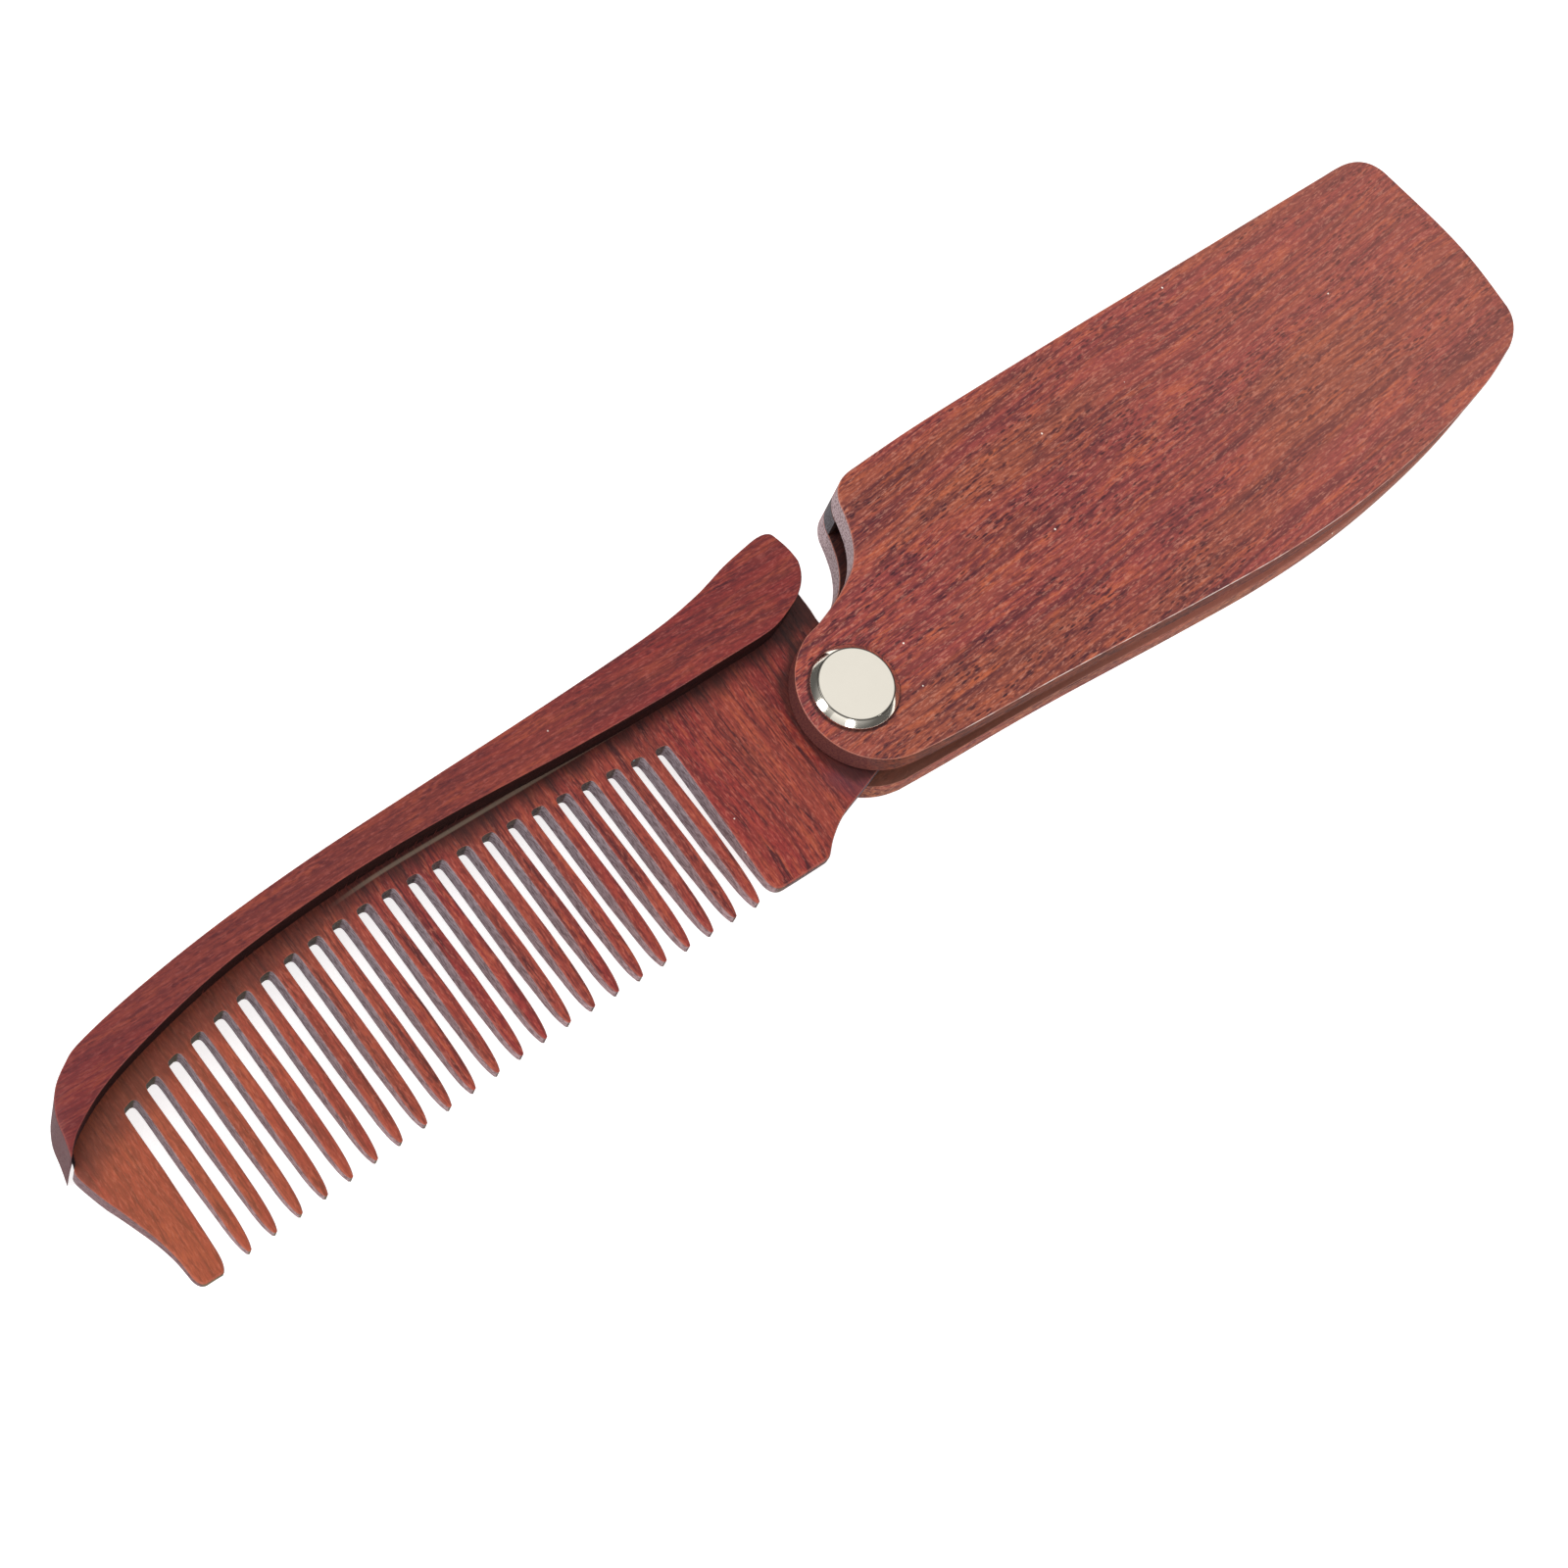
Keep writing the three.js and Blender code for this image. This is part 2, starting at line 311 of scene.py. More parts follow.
# ---- Camera ----
# The comb is seen from above its teeth, turned so that the handle points to the upper right.
EYE = Vector((-156.67, -74.42, 312.56)) * MM
AIM = Vector((-13.10, -7.63, 4.75)) * MM
ROLL = math.radians(-36.81)
FIELD = math.radians(26.504)


def add_camera():
    data = bpy.data.cameras.new("camera")
    data.sensor_fit = "HORIZONTAL"
    data.angle = FIELD
    data.clip_start = 0.01
    data.clip_end = 20
    camera = bpy.data.objects.new("camera", data)
    bpy.context.scene.collection.objects.link(camera)
    ahead = (AIM - EYE).normalized()
    right = ahead.cross(Vector((0, 1, 0))).normalized()
    up = right.cross(ahead)
    level_right = right * math.cos(ROLL) + up * math.sin(ROLL)
    level_up = up * math.cos(ROLL) - right * math.sin(ROLL)
    turn = Matrix((level_right, level_up, -ahead)).transposed()
    camera.matrix_world = Matrix.Translation(EYE) @ turn.to_4x4()
    bpy.context.scene.camera = camera


# ---- Materials ----
MIX_COLOUR_SOCKETS = (0, 6, 7)  # the sockets of a Mix node that mixes colours
MIX_COLOUR_RESULT = 2


class Shader:
    """Builds one node material, with a short call for each kind of node."""

    def __init__(self, name):
        self.material = bpy.data.materials.new(name)
        self.material.use_nodes = True
        self.nodes = self.material.node_tree.nodes
        self.links = self.material.node_tree.links
        self.nodes.clear()
        self.coordinates = self.nodes.new("ShaderNodeTexCoord")

    def put(self, value, socket):
        if isinstance(value, bpy.types.NodeSocket):
            self.links.new(value, socket)
        else:
            socket.default_value = value

    def mapped(self, vector, scale, turn=0.0, shift=(0, 0, 0)):
        node = self.nodes.new("ShaderNodeMapping")
        node.inputs["Location"].default_value = shift
        node.inputs["Rotation"].default_value = (0, 0, turn)
        node.inputs["Scale"].default_value = scale
        self.links.new(vector, node.inputs["Vector"])
        return node.outputs["Vector"]

    def place(self, turn=0.0, shift=(0, 0, 0)):
        """The point's own place in millimetres, turned about Z and then shifted."""
        scaled = self.mapped(self.coordinates.outputs["Object"], (1 / MM, 1 / MM, 1 / MM))
        return self.mapped(scaled, (1, 1, 1), turn, shift)

    def split(self, vector):
        node = self.nodes.new("ShaderNodeSeparateXYZ")
        self.links.new(vector, node.inputs[0])
        return node.outputs

    def joined(self, x, y, z):
        node = self.nodes.new("ShaderNodeCombineXYZ")
        for value, socket in zip((x, y, z), node.inputs):
            self.put(value, socket)
        return node.outputs[0]

    def noise(self, vector, lengths, detail=2.0, roughness=0.5):
        """Noise whose blotches are about as long as lengths along each axis."""
        node = self.nodes.new("ShaderNodeTexNoise")
        scale = [1 / length for length in lengths]
        self.links.new(self.mapped(vector, scale), node.inputs["Vector"])
        node.inputs["Scale"].default_value = 1.0
        node.inputs["Detail"].default_value = detail
        node.inputs["Roughness"].default_value = roughness
        return node.outputs["Fac"]

    def cells(self, vector, lengths):
        """(distance to the nearest of many scattered points, a random value for that point)."""
        node = self.nodes.new("ShaderNodeTexVoronoi")
        scale = [1 / length for length in lengths]
        self.links.new(self.mapped(vector, scale), node.inputs["Vector"])
        node.inputs["Scale"].default_value = 1.0
        return node.outputs["Distance"], self.split(node.outputs["Color"])["X"]

    def math(self, operation, a, b=0.0):
        node = self.nodes.new("ShaderNodeMath")
        node.operation = operation
        self.put(a, node.inputs[0])
        self.put(b, node.inputs[1])
        return node.outputs[0]

    def times(self, a, b):
        return self.math("MULTIPLY", a, b)

    def apart(self, a, b):
        return self.math("ABSOLUTE", self.math("SUBTRACT", a, b))

    def ramp(self, value, low, high, to_low=0.0, to_high=1.0):
        """Maps low..high of a value to to_low..to_high, smoothly and clamped."""
        node = self.nodes.new("ShaderNodeMapRange")
        node.interpolation_type = "SMOOTHSTEP"
        self.put(value, node.inputs["Value"])
        node.inputs["From Min"].default_value = low
        node.inputs["From Max"].default_value = high
        node.inputs["To Min"].default_value = to_low
        node.inputs["To Max"].default_value = to_high
        return node.outputs["Result"]

    def mix(self, share, a, b, blend="MIX"):
        """Colour a, with a share from 0 to 1 of colour b."""
        node = self.nodes.new("ShaderNodeMix")
        node.data_type = "RGBA"
        node.blend_type = blend
        factor, first, second = (node.inputs[i] for i in MIX_COLOUR_SOCKETS)
        self.put(share, factor)
        self.put(a, first)
        self.put(b, second)
        return node.outputs[MIX_COLOUR_RESULT]

    def height(self):
        """The point's own y, in millimetres."""
        return self.split(self.place())["Y"]

    def reach(self, centre):
        """How far the point is from the line along Z through centre, in millimetres."""
        x, y = self.split(self.place())[:2]
        dx, dy = self.math("SUBTRACT", x, centre[0]), self.math("SUBTRACT", y, centre[1])
        squares = self.math("POWER", dx, 2.0), self.math("POWER", dy, 2.0)
        return self.math("SQRT", self.math("ADD", *squares))

    def facing_up(self):
        """1 on the flat faces and 0 on the side walls, from the piece's own normals."""
        return self.math("ABSOLUTE", self.split(self.coordinates.outputs["Normal"])["Z"])

    def bump(self, height, distance):
        node = self.nodes.new("ShaderNodeBump")
        node.inputs["Distance"].default_value = distance
        self.put(height, node.inputs["Height"])
        return node.outputs["Normal"]

    def surface(self, colour, roughness, normal=None, **settings):
        node = self.nodes.new("ShaderNodeBsdfPrincipled")
        self.put(colour, node.inputs["Base Color"])
        self.put(roughness, node.inputs["Roughness"])
        if normal is not None:
            self.put(normal, node.inputs["Normal"])
        for name, value in settings.items():
            node.inputs[name.replace("_", " ")].default_value = value
        output = self.nodes.new("ShaderNodeOutputMaterial")
        self.links.new(node.outputs[0], output.inputs["Surface"])
        return self.material


def screen(red, green, blue):
    """A screen colour of 0 to 255 a channel, as the linear colour that a shader takes."""
    def linear(value):
        share = value / 255
        return share / 12.92 if share <= 0.04045 else ((share + 0.055) / 1.055) ** 2.4
    return (linear(red), linear(green), linear(blue), 1.0)


def grey(value):
    return (value, value, value, 1.0)


# Each layer of a wood's figure: how long its blotches are along the grain and across it, in
# millimetres, and then the detail and the roughness of its noise.
FIGURE = {
    "broad": ((38, 6, 6), 2, 0.5),
    "band": ((40, 1.4, 1.4), 3, 0.6),
    "dash": ((1.8, 0.26, 0.26), 2, 0.55),
    "fleck": ((0.8, 0.2, 0.2), 2, 0.6),
    "ribbon": ((16, 0.5, 0.5), 2, 0.55),
    "glow": ((8, 1.1, 1.1), 2, 0.5),
    "crowd": ((12, 2.6, 2.6), 2, 0.5),
    "contour": ((30, 0.8, 0.8), 1, 0.5),
}
SWAY_LENGTHS = (34, 16, 16)
SWAY = 2.6  # how far the grain wanders sideways, in millimetres
PORE_LENGTHS = (1.3, 0.36, 0.36)
PAINTED_GLINT_LENGTHS = (1.8, 1.8, 1.8)
RELIEF = 0.03 * MM  # how deep the pores and flecks are
FACE_ROUGHNESS = 0.5, 0.38  # on the dark dashes, and between them
WALL_ROUGHER, EDGE_SMOOTHER = 0.45, 0.2
PALE_EDGE = 0.3  # the share of the pale colour on a rounded edge, partly worn wood and partly a painted sheen

# The pores' colour, then the whites of the painted glints and of the painted edge highlights.
PORE, PAINTED_GLINT, EDGE_HIGHLIGHT_WHITE = screen(52, 24, 34), screen(250, 238, 226), screen(240, 228, 220)
OUTERMOST_WALL = screen(84, 44, 46)
OUTERMOST_FROM, OUTERMOST_TO = -89.2, -90.2  # in millimetres; walls past these are darker and redder than the other cut walls


def figured(shader, grain, layer, tones, streaks, lines, pores, glints):
    """The colour of a planed face, and how open its pores are."""
    rose, tan, dark, orange, pale = tones
    tone = shader.mix(shader.ramp(layer["broad"], 0.36, 0.64), rose, tan)
    warm = shader.times(shader.ramp(layer["glow"], 0.48, 0.66),
                        shader.ramp(layer["dash"], 0.42, 0.6))
    tone = shader.mix(shader.times(warm, 0.5), tone, orange)

    # Long streaks, dark and orange.
    tone = shader.mix(shader.ramp(layer["band"], 0.54, 0.34, 0.0, 0.55 * streaks), tone, dark)
    tone = shader.mix(shader.ramp(layer["ribbon"], 0.5, 0.36, 0.0, 0.7 * streaks), tone, dark)
    tone = shader.mix(shader.ramp(layer["ribbon"], 0.52, 0.66, 0.0, 0.35 * streaks), tone, orange)

    # Growth lines along the contours of a slow noise, stronger where the band is dark.
    broken = shader.ramp(layer["band"], 0.42, 0.58, lines, 0.15 * lines)
    line = shader.times(shader.ramp(shader.apart(layer["contour"], 0.5), 0.008, 0.04, 1.0, 0.0),
                        broken)
    tone = shader.mix(line, tone, dark)

    # Short dashes that crowd together in places, and fine flecks.
    crowded = shader.ramp(layer["crowd"], 0.38, 0.6, 0.4, 1.0)
    dashes = shader.times(shader.ramp(layer["dash"], 0.48, 0.36, 0.0, streaks), crowded)
    tone = shader.mix(dashes, tone, dark)
    tone = shader.mix(shader.ramp(layer["fleck"], 0.52, 0.7, 0.0, 0.36), tone, pale)
    tone = shader.mix(shader.ramp(layer["fleck"], 0.48, 0.32, 0.0, 0.4), tone, dark)

    # Open pores, and a few bright white specks that are painted glints.
    distance, chance = shader.cells(grain, PORE_LENGTHS)
    chosen = shader.times(shader.ramp(chance, 0.4, 0.5), shader.ramp(layer["crowd"], 0.44, 0.58))
    pore = shader.times(shader.ramp(distance, 0.22, 0.42, 1.0, 0.0), chosen)
    tone = shader.mix(shader.times(pore, pores), tone, PORE)
    distance, chance = shader.cells(grain, PAINTED_GLINT_LENGTHS)
    painted_glint = shader.times(shader.ramp(distance, 0.04, 0.08, 1.0, 0.0),
                        shader.ramp(chance, 0.93, 0.94))
    return shader.mix(shader.times(painted_glint, glints), tone, PAINTED_GLINT), pore


def wood(name, tones, turn, shift, streaks, lines, pores, glints, side, sawn_and_sheen, tone_and_shade=None,
         edge_highlight=None):
    """Satin oiled wood, its grain turned from X by turn.

    tones are its rose, tan, dark, orange and pale colours. streaks, lines, pores and glints say
    how strong those are; the glints are painted highlights. side multiplies the colour of the walls
    that face the teeth: painted shade where it is below one, painted light where it is above. sawn
    is (lower, upper, low, high): the colours of the walls that face along X, below the height low
    and above the height high, partly the cut wood's own and partly a painted sheen. finish changes
    the tone of the faces with local tones and painted shade, from the shader, the tone and a patchy
    noise. wear gives how much painted white highlight each edge gets.
    """
    dark, pale = tones[2], tones[4]
    shader = Shader(name)
    straight = shader.place(-turn, shift)
    x, y, z = shader.split(straight)[:3]
    sway = shader.times(shader.noise(straight, SWAY_LENGTHS, 1), SWAY)
    grain = shader.joined(x, shader.math("ADD", y, sway), z)
    layer = {kind: shader.noise(grain, *look) for kind, look in FIGURE.items()}
    tone, pore = figured(shader, grain, layer, tones, streaks, lines, pores, glints)
    if tone_and_shade:
        tone = tone_and_shade(shader, tone, layer["crowd"])

    # The side walls, the rounded edges, and the walls that face the teeth, whose colour side
    # multiplies: painted shade below one, painted light above one.
    faces = shader.split(shader.coordinates.outputs["Normal"])
    flatness = shader.math("ABSOLUTE", faces["Z"])
    wall = shader.ramp(flatness, 0.25, 0.8, 1.0, 0.0)
    edge = shader.times(shader.ramp(flatness, 0.4, 0.6), shader.ramp(flatness, 0.9, 0.97, 1.0, 0.0))
    toothward = shader.times(wall, shader.ramp(faces["Y"], -0.2, 0.1, 1.0, 0.0))
    tone = shader.mix(toothward, tone, shader.mix(1.0, tone, side, "MULTIPLY"))

    # Sawn end grain on the walls that face along X, its grey-mauve partly the cut wood's own colour
    # and partly a painted sheen.
    lower, upper, low, high = sawn_and_sheen
    # The outermost walls, past the guard's far side, turn darker and redder.
    oiled = shader.ramp(shader.split(shader.place())["X"], OUTERMOST_TO, OUTERMOST_FROM, 0.65, 0.0)
    sawn_and_sheen_tone = shader.mix(shader.ramp(shader.height(), low, high), lower, upper)
    sawn_and_sheen_tone = shader.mix(oiled, sawn_and_sheen_tone, OUTERMOST_WALL)
    sawn_and_sheen_tone = shader.mix(shader.ramp(layer["fleck"], 0.4, 0.56, 0.6, 0.0), sawn_and_sheen_tone, dark)
    across = shader.ramp(shader.math("ABSOLUTE", faces["X"]), 0.35, 0.8)
    tone = shader.mix(shader.times(wall, across), tone, sawn_and_sheen_tone)

    # Rounded edges turn paler: partly worn wood, partly a painted sheen.
    tone = shader.mix(shader.times(edge, PALE_EDGE), tone, pale)
    # Some edges get a painted white highlight.
    if edge_highlight:
        tone = shader.mix(shader.times(edge, edge_highlight(shader)), tone, EDGE_HIGHLIGHT_WHITE)
    roughness = shader.math("ADD", shader.ramp(layer["dash"], 0.3, 0.7, *FACE_ROUGHNESS),
                            shader.times(wall, WALL_ROUGHER))
    relief = shader.math("SUBTRACT", shader.times(layer["fleck"], 0.6), pore)
    return shader.surface(
        tone,
        shader.math("SUBTRACT", roughness, shader.times(edge, EDGE_SMOOTHER)),
        shader.bump(relief, RELIEF),
        Specular_IOR_Level=0.15,
        Coat_Weight=0.05,
        Coat_Roughness=0.25,
    )


# The local tones and painted shade below use millimetres in the part's frame.
NOSE = (0.25, -4.575)  # the centre of the handle's round end
NOSE_STAIN_AND_SHADE = 9.2  # how far from that centre the board's stain and painted shadow start to fade
SLOT_HALF = 1.61  # from the middle of the handle's slot to just past a scale's inner face
GRIME_AND_SHADE_RADIUS = 4.95  # of the dark ring round the cap, grime and painted contact shade
FRONT_EDGE = 4.0, 4.2  # above the slot's middle, just below the front face
NOTCH_EDGE = 1.4, 1.5, 1.9, 2.1  # above the slot's middle, on both sides of the inner face
SPINE_FOOT = 6.3  # the height where the board leaves the spine, right of its bend
SPINE_BEND = -52.0
SPINE_FALL = 0.0054  # left of its bend, the spine's foot falls as the square of the distance
GLUE_BELOW = 0.3  # from the spine's foot down to the line of dried glue, which has a painted highlight

PALER_FAR_END, GRIME_AND_SHADE = screen(190, 122, 104), screen(40, 22, 24)
SLOT_BY_NOSE, SLOT_BY_END = screen(112, 72, 58), screen(176, 116, 100)
SLOT_BOTTOM = screen(34, 22, 22)
SPINE_TIP = screen(92, 32, 34)
BOARD_ORANGE, SOAKED_AND_SHADED, SMEAR_AND_SHADOW = screen(160, 86, 50), screen(50, 28, 26), screen(84, 50, 58)
GLUE_AND_HIGHLIGHT = screen(150, 134, 116)
DARK_RING_TONE = screen(30, 26, 24)


def scale_tones_and_shade(shader, tone, patchy):
    """A handle scale's local tones and painted shade: paler towards its far end, painted light and
    shade in the slot, and grime with painted contact shade round the cap.
    """
    x, y, z = shader.split(shader.place())[:3]
    tone = shader.mix(shader.ramp(x, 15, 95, 0.0, 0.2), tone, PALER_FAR_END)
    # Inside the slot the inner faces take painted light and shade: lighter by the open lower edge
    # and towards the far end, dark deeper in.
    from_middle = shader.apart(z, PIVOT.z / MM)
    inside = shader.ramp(from_middle, SLOT_HALF, SLOT_HALF + 0.03, 0.85, 0.0)
    shallow = shader.mix(shader.ramp(x, 5, 45), SLOT_BY_NOSE, SLOT_BY_END)
    tone = shader.mix(inside, tone, shader.mix(shader.ramp(y, -11, -4), shallow, SLOT_BOTTOM))
    # A dark ring round the cap: grime and painted contact shade.
    grime_and_shade = shader.ramp(shader.reach(PIVOT / MM), GRIME_AND_SHADE_RADIUS, GRIME_AND_SHADE_RADIUS + 0.25, 0.75, 0.0)
    return shader.mix(grime_and_shade, tone, GRIME_AND_SHADE)


def scale_edge_highlights(shader):
    """A painted white highlight along the front face's open edge, and along the notch's inner edge.
    """
    place = shader.place()
    x, y, z = shader.split(place)[:3]
    faces = shader.split(shader.coordinates.outputs["Normal"])
    above = shader.math("SUBTRACT", z, PIVOT.z / MM)
    patches = shader.ramp(shader.noise(place, (3, 3, 3), 3, 0.7), 0.4, 0.58, 0.12, 0.6)
    along = shader.times(shader.ramp(x, 0, 9), shader.ramp(x, 45, 70, 1.0, 0.3))
    in_front = shader.ramp(above, *FRONT_EDGE)
    open_edge = shader.times(shader.ramp(faces["Y"], -0.5, -0.2, 1.0, 0.0), in_front)
    open_edge = shader.times(open_edge, shader.times(patches, along))
    just_inside = shader.times(shader.ramp(above, *NOTCH_EDGE[:2]),
                               shader.ramp(above, *NOTCH_EDGE[2:], 1.0, 0.0))
    notch_edge = shader.times(shader.ramp(faces["X"], -0.5, -0.2, 1.0, 0.0), just_inside)
    return shader.math("MAXIMUM", open_edge, notch_edge)


def darker_tip(shader, tone, patchy):
    """The spine's own shade: darker towards its far tip."""
    x = shader.split(shader.place())["X"]
    return shader.mix(shader.ramp(x, -96, -20, 0.4, 0.0), tone, SPINE_TIP)


def board_tones_and_shade(shader, tone, patchy):
    """The board's tones and painted shade: orange at its far end, and dark where oil soaked in and
    painted shade falls.

    That is by the spine's foot, which has a line of dried glue with a painted highlight on it, and
    round the handle's nose, where the shade is the handle's painted shadow.
    """
    x, y = shader.split(shader.place())[:2]
    tone = shader.mix(shader.ramp(x, -90, -50, 0.4, 0.0), tone, BOARD_ORANGE)

    # Dark by the spine's foot: oil soaked in, and painted shade under the spine.
    past_bend = shader.math("MAXIMUM", shader.math("SUBTRACT", SPINE_BEND, x), 0.0)
    fall = shader.times(shader.math("POWER", past_bend, 2.0), SPINE_FALL)
    below_spine = shader.math("SUBTRACT", shader.math("SUBTRACT", SPINE_FOOT, fall), y)
    ragged = shader.math("ADD", below_spine, shader.ramp(patchy, 0.3, 0.7, -0.7, 0.7))
    root = shader.times(shader.ramp(ragged, 0.3, 3.2, 0.85, 0.0),
                        shader.ramp(x, -82, -45, 0.5, 1.0))

    # Dark round the handle's nose, with a mauve patch below it: oil stain and the handle's painted
    # shadow.
    from_nose = shader.math("ADD", shader.reach(NOSE), shader.ramp(patchy, 0.3, 0.7, -0.6, 0.6))
    nose = shader.ramp(from_nose, NOSE_STAIN_AND_SHADE, NOSE_STAIN_AND_SHADE + 1, 0.75, 0.0)
    smear_and_shadow = shader.times(shader.ramp(from_nose, NOSE_STAIN_AND_SHADE + 0.8, NOSE_STAIN_AND_SHADE + 3.3, 0.6, 0.0),
                         shader.ramp(y, -10.5, -7.5, 1.0, 0.0))
    tone = shader.mix(smear_and_shadow, tone, SMEAR_AND_SHADOW)
    tone = shader.mix(shader.math("MAXIMUM", root, nose), tone, SOAKED_AND_SHADED)

    # A pale line of dried glue just below the spine's foot, partly a painted highlight.
    along = shader.times(shader.ramp(x, -62, -55), shader.ramp(x, -45, -12, 0.5, 0.0))
    off_line = shader.apart(below_spine, GLUE_BELOW)
    glue = shader.times(shader.ramp(off_line, 0.1, 0.3, 1.0, 0.0), along)
    return shader.mix(glue, tone, GLUE_AND_HIGHLIGHT)


RING_SPACING = 0.09  # of the turning marks on a round metal face, in millimetres


def metal(name, tint, satin, polished, marks, dark_ring):
    """Plated metal: satin flat faces with faint round marks, and polished bevels.

    satin and polished are the roughness of those, and marks is how deep the marks are. tarnish is
    the radius of a thin dark ring, where the flat top meets the bevel.
    """
    shader = Shader(name)
    place = shader.place()
    radius = shader.reach(PIVOT / MM)
    rings = shader.noise(shader.joined(radius, 0.0, 0.0), (RING_SPACING, 1, 1), 2)
    cloud = shader.noise(place, (2.4, 2.4, 2.4), 3)
    scuffs = shader.noise(shader.mapped(place, (1, 1, 1), 0.7), (4.0, 0.06, 1), 1)
    flat = shader.ramp(shader.facing_up(), 0.9, 0.99)
    worn = shader.ramp(cloud, 0.3, 0.7, -0.02, 0.02)
    roughness = shader.math("ADD", shader.ramp(flat, 0.0, 1.0, polished, satin), worn)
    duller = tuple(0.98 * c for c in tint[:3]) + (1,)
    tone = shader.mix(shader.ramp(cloud, 0.3, 0.7), tint, duller)
    # A thin darker ring in the colour, where the flat top meets the bevel.
    tone = shader.mix(shader.ramp(shader.apart(radius, dark_ring), 0.06, 0.12, 0.85, 0.0),
                      tone, DARK_RING_TONE)
    height = shader.math("ADD", rings, shader.times(scuffs, 0.4))
    return shader.surface(tone, roughness, shader.bump(height, marks), Metallic=1.0)


def handle_wood(name, shift, side):
    """The wood of the handle's scales, which differ in their figure and in their side walls:
    painted shade on the front scale's walls that face the teeth, painted light on the back scale's.
    """
    return wood(
        name,
        (screen(140, 62, 58), screen(138, 72, 56), screen(66, 28, 38), screen(184, 94, 58),
         screen(206, 140, 118)),
        turn=math.radians(6),
        shift=shift,
        streaks=0.75,
        lines=0.55,
        pores=0.8,
        glints=0.9,
        side=side,
        sawn_and_sheen=(screen(104, 58, 52), screen(166, 146, 148), 3.5, 5.5),
        tone_and_shade=scale_tones_and_shade,
        edge_highlight=scale_edge_highlights,
    )


# The front scale's walls that face the teeth are darkened as painted shade; the back scale's are
# lightened as painted light, as if lit by the floor.
FRONT_WOOD = handle_wood("rosewood_front", (0, 0, 0), (0.5, 0.34, 0.18, 1))
BACK_WOOD = handle_wood("rosewood_back", (63, 19, 44), (1.1, 1.4, 1.2, 1))
SPINE_WOOD = wood(
    "rosewood_spine",
    (screen(122, 44, 42), screen(120, 52, 44), screen(64, 28, 34), screen(154, 74, 50),
     screen(164, 90, 80)),
    turn=0,
    shift=(31, 77, 13),
    streaks=0.5,
    lines=0.4,
    pores=0.4,
    glints=0.5,
    # side darkens the wall that faces the teeth: painted shade.
    side=grey(0.12),
    sawn_and_sheen=(screen(88, 68, 70), screen(88, 68, 70), 0, 1),
    tone_and_shade=darker_tip,
)
BOARD_WOOD = wood(
    "board_wood",
    (screen(134, 48, 44), screen(138, 60, 48), screen(62, 26, 30), screen(166, 82, 54),
     screen(184, 106, 88)),
    turn=math.pi / 2,
    shift=(91, 27, 53),
    streaks=0.6,
    lines=0.85,
    pores=0.35,
    glints=0.8,
    # side greys the walls that face the teeth: painted sheen.
    side=(0.5, 1.8, 2.2, 1),
    sawn_and_sheen=(screen(160, 134, 136), screen(160, 146, 152), -13, 1),
    tone_and_shade=board_tones_and_shade,
)
SPACER_WOOD = wood(
    "spacer_wood",
    (screen(84, 50, 46), screen(90, 58, 50), screen(34, 20, 22), screen(112, 70, 56),
     screen(134, 106, 98)),
    turn=0,
    shift=(5, 41, 19),
    streaks=0.8,
    lines=0.3,
    pores=0.8,
    glints=0.3,
    # side darkens the walls that face the teeth: painted shade.
    side=grey(0.7),
    sawn_and_sheen=(screen(84, 80, 84), screen(84, 80, 84), 0, 1),
)
NICKEL = metal("nickel", (0.86, 0.81, 0.71, 1), satin=0.3, polished=0.1, marks=0.0004 * MM,
               dark_ring=4.13)
BRASS = metal("brass", (0.72, 0.53, 0.25, 1), satin=0.38, polished=0.25, marks=0.004 * MM,
              dark_ring=0.0)


# ---- The wooden pieces ----
FINE = 0.6 * MM  # longest step along a smoothed outline
EDGE = 0.16 * MM  # rounding of an outer edge
SPACER_EDGE = 0.05 * MM  # rounding of the spacer's edges, which the scales hide
GLUE = 0.05 * MM  # gap on each side of the board in its groove
FLAT = (0, 0)  # no crown
SCALE_CROWN = (3 * MM, 0.2 * MM)
SPINE_CROWN = (1.6 * MM, 0.1 * MM)


def finished(obj, body, material, slot, *nodes):
    """Gives the mesh its material, its body and the CAD nodes that it replaces."""
    obj.data.materials.append(material)
    shading = obj.modifiers.new("even_normals", "WEIGHTED_NORMAL")
    shading.keep_sharp = True
    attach(obj, body)
    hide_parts(*nodes)
    return obj


def outline_of(node, side, flat=True):
    """The node's own outlines, smoothed and kept inside its box."""
    low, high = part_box(node)

    def kept(point):
        return Vector((min(max(point.x, low.x), high.x), min(max(point.y, low.y), high.y)))

    return [[kept(p) for p in smoothed(loop, FINE)] for loop in outlines(node, side, flat)]


def handle_scale(node, side, material):
    """One side of the handle, crowned on its outer face only."""
    low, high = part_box(node)
    obj = rounded_plate(
        node + "_wood", outline_of(node, side), level(low.z), level(high.z), level(EDGE),
        crowns=(FLAT, SCALE_CROWN) if side > 0 else (SCALE_CROWN, FLAT),
    )
    return finished(obj, HANDLE, material, "rosewood", node)


def spacer_piece():
    low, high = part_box("handle_spacer")
    obj = rounded_plate(
        "handle_spacer_wood", outline_of("handle_spacer", 1)[:1], level(low.z), level(high.z),
        level(SPACER_EDGE),
    )
    return finished(obj, HANDLE, SPACER_WOOD, "spacer_wood", "handle_spacer")


def cut(obj, cutter):
    """Takes the cutter's volume out of obj, and removes the cutter."""
    boolean = obj.modifiers.new("cut", "BOOLEAN")
    boolean.operation = "DIFFERENCE"
    boolean.solver = "EXACT"
    boolean.object = cutter
    graph = bpy.context.evaluated_depsgraph_get()
    obj.data = bpy.data.meshes.new_from_object(obj.evaluated_get(graph))
    obj.modifiers.clear()
    bpy.data.objects.remove(cutter)


